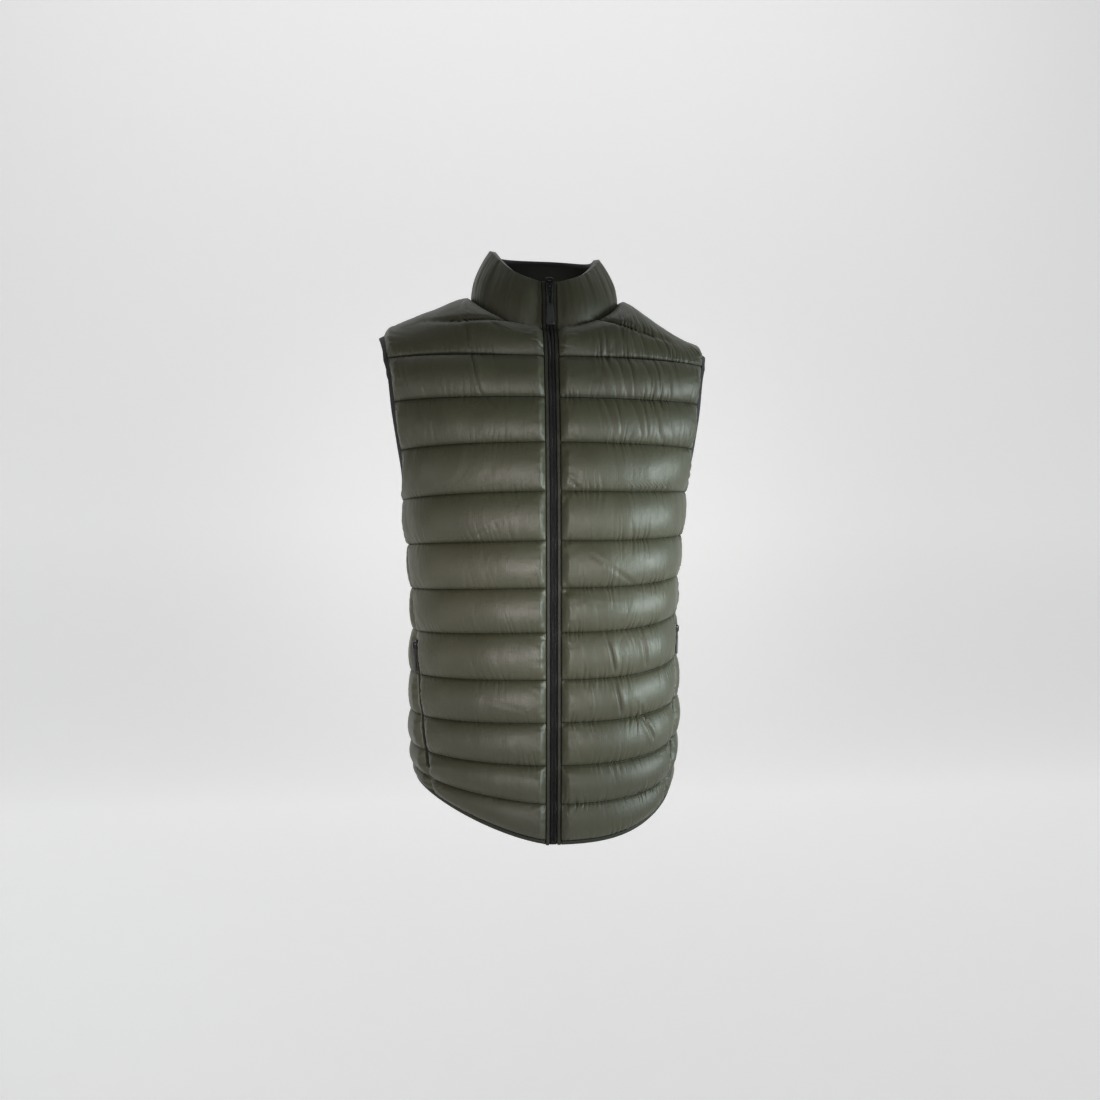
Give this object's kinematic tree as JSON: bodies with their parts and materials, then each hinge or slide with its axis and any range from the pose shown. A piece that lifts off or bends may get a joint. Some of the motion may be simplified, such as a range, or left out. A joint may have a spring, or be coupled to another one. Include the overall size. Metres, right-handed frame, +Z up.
{
  "type": "puffer vest",
  "caption": "Sleeveless quilted vest with a padded stand collar, a full front zip, side-seam zip pockets and bound armholes.",
  "frame": {"origin": "between the shoulders at the base of the neck, where the wearer holds the vest up", "axes": "+Z up, -Y out of the front, +X to the viewer's right"},
  "size_m": [0.4339, 0.2738, 0.7557],
  "materials": {
    "shell": "satin olive nylon",
    "binding": "matte black elastic",
    "zip_tape": "black woven tape and coil",
    "slider": "black satin",
    "pull": "black moulded"
  },
  "bodies": {
    "vest": {"front_left": "shell", "armhole_binding_left": "binding", "zip_welt_left": "shell", "pocket_zip_left": "zip_tape", "pocket_slider_left": "slider", "front_right": "shell", "armhole_binding_right": "binding", "zip_welt_right": "shell", "pocket_zip_right": "zip_tape", "pocket_slider_right": "slider", "back": "shell", "collar": "shell", "hem_binding": "binding", "front_zip": "zip_tape", "front_slider": "slider"},
    "front_pull_body": {"front_pull": "pull"},
    "pocket_pull_left_body": {"pocket_pull_left": "pull"},
    "pocket_pull_right_body": {"pocket_pull_right": "pull"}
  },
  "joints": [
    {"name": "front_pull_hinge", "type": "hinge", "parent": "vest", "child": "front_pull_body", "pos_m": [0, -0.07758, -0.00137], "axis": [-1, 0, 0], "range_deg": [0, 155]},
    {"name": "pocket_pull_left_hinge", "type": "hinge", "parent": "vest", "child": "pocket_pull_left_body", "pos_m": [-0.16786, -0.05187, -0.45252], "axis": [-0.368, 0.9054, -0.2119], "range_deg": [0, 155]},
    {"name": "pocket_pull_right_hinge", "type": "hinge", "parent": "vest", "child": "pocket_pull_right_body", "pos_m": [0.16839, -0.04905, -0.43382], "axis": [-0.3332, -0.9089, 0.2506], "range_deg": [0, 155]}
  ]
}
